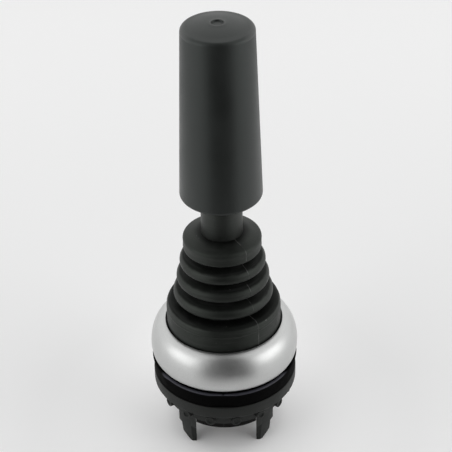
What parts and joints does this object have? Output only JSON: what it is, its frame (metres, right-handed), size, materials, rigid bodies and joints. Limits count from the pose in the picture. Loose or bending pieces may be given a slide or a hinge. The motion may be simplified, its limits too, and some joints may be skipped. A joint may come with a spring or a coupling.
{
  "type": "panel joystick",
  "caption": "Panel-mounted joystick front element: tapered grip on a gimballed lever under a rubber boot, with a bulged bezel, gasket, clamp nut, legs and sprung plungers.",
  "frame": {"origin": "on the lever's axis, in the plane of the leg tips on which the part stands", "axes": "+Z along the lever towards the grip, -Y midway between the two legs nearest the gasket's notch"},
  "size_m": [0.0296, 0.0296, 0.092],
  "materials": {
    "grip_plastic": "fine satin moulded",
    "shaft_plastic": "satin",
    "boot_rubber": "matt moulded rubber",
    "bezel_metal": "satin, fine bead blasted",
    "housing_plastic": "semi-gloss moulded",
    "gasket_rubber": "smooth rubber",
    "grey_plastic": "matt moulded",
    "inner_plastic": "matt moulded",
    "gimbal_metal": "sintered",
    "pin_steel": "ground",
    "pale_plastic": "natural moulded",
    "spring_steel": "drawn wire"
  },
  "bodies": {
    "housing": {"housing": "housing_plastic", "bezel": "bezel_metal", "bellows": "boot_rubber", "bellows_clamp_ring": "inner_plastic", "gasket": "gasket_rubber", "leg_base": "grey_plastic", "gimbal_carrier": "inner_plastic", "carrier_pin_left": "pin_steel", "carrier_pin_right": "pin_steel", "spring_front": "spring_steel", "spring_back": "spring_steel", "spring_left": "spring_steel", "spring_right": "spring_steel"},
    "gimbal": {"gimbal_ring": "gimbal_metal", "hub_pin_front": "pin_steel", "hub_pin_back": "pin_steel"},
    "lever": {"handle": "grip_plastic", "lever_shaft": "shaft_plastic", "rocker": "pale_plastic", "rocker_screw": "pin_steel"},
    "plunger_front": {"plunger_front": "pale_plastic"},
    "plunger_back": {"plunger_back": "pale_plastic"},
    "plunger_left": {"plunger_left": "pale_plastic"},
    "plunger_right": {"plunger_right": "pale_plastic"},
    "ring_nut": {"ring_nut": "grey_plastic"}
  },
  "joints": [
    {"name": "tilt_x", "type": "hinge", "parent": "housing", "child": "gimbal", "pos_m": [0, 0, 0.0193], "axis": [1, 0, 0], "range_deg": [-12, 12], "stiffness_Nm_per_rad": 1, "deforming": ["bellows"]},
    {"name": "tilt_y", "type": "hinge", "parent": "gimbal", "child": "lever", "pos_m": [0, 0, 0.0193], "axis": [0, 1, 0], "range_deg": [-12, 12], "stiffness_Nm_per_rad": 1, "deforming": ["bellows"]},
    {"name": "plunger_front_slide", "type": "slide", "parent": "housing", "child": "plunger_front", "axis": [0, 0, 1], "range_m": [-0.0012, 0.0012], "deforming": ["spring_front"]},
    {"name": "plunger_back_slide", "type": "slide", "parent": "housing", "child": "plunger_back", "axis": [0, 0, 1], "range_m": [-0.0012, 0.0012], "deforming": ["spring_back"]},
    {"name": "plunger_left_slide", "type": "slide", "parent": "housing", "child": "plunger_left", "axis": [0, 0, 1], "range_m": [-0.0012, 0.0012], "deforming": ["spring_left"]},
    {"name": "plunger_right_slide", "type": "slide", "parent": "housing", "child": "plunger_right", "axis": [0, 0, 1], "range_m": [-0.0012, 0.0012], "deforming": ["spring_right"]},
    {"name": "ring_nut_travel", "type": "slide", "parent": "housing", "child": "ring_nut", "axis": [0, 0, 1], "range_m": [-0.006, 0]}
  ],
  "couplings": [
    {"joint": "plunger_front_slide", "follows": "tilt_x", "m_per_rad": -0.0056},
    {"joint": "plunger_back_slide", "follows": "tilt_x", "m_per_rad": 0.0056},
    {"joint": "plunger_left_slide", "follows": "tilt_y", "m_per_rad": 0.0056},
    {"joint": "plunger_right_slide", "follows": "tilt_y", "m_per_rad": -0.0056}
  ]
}
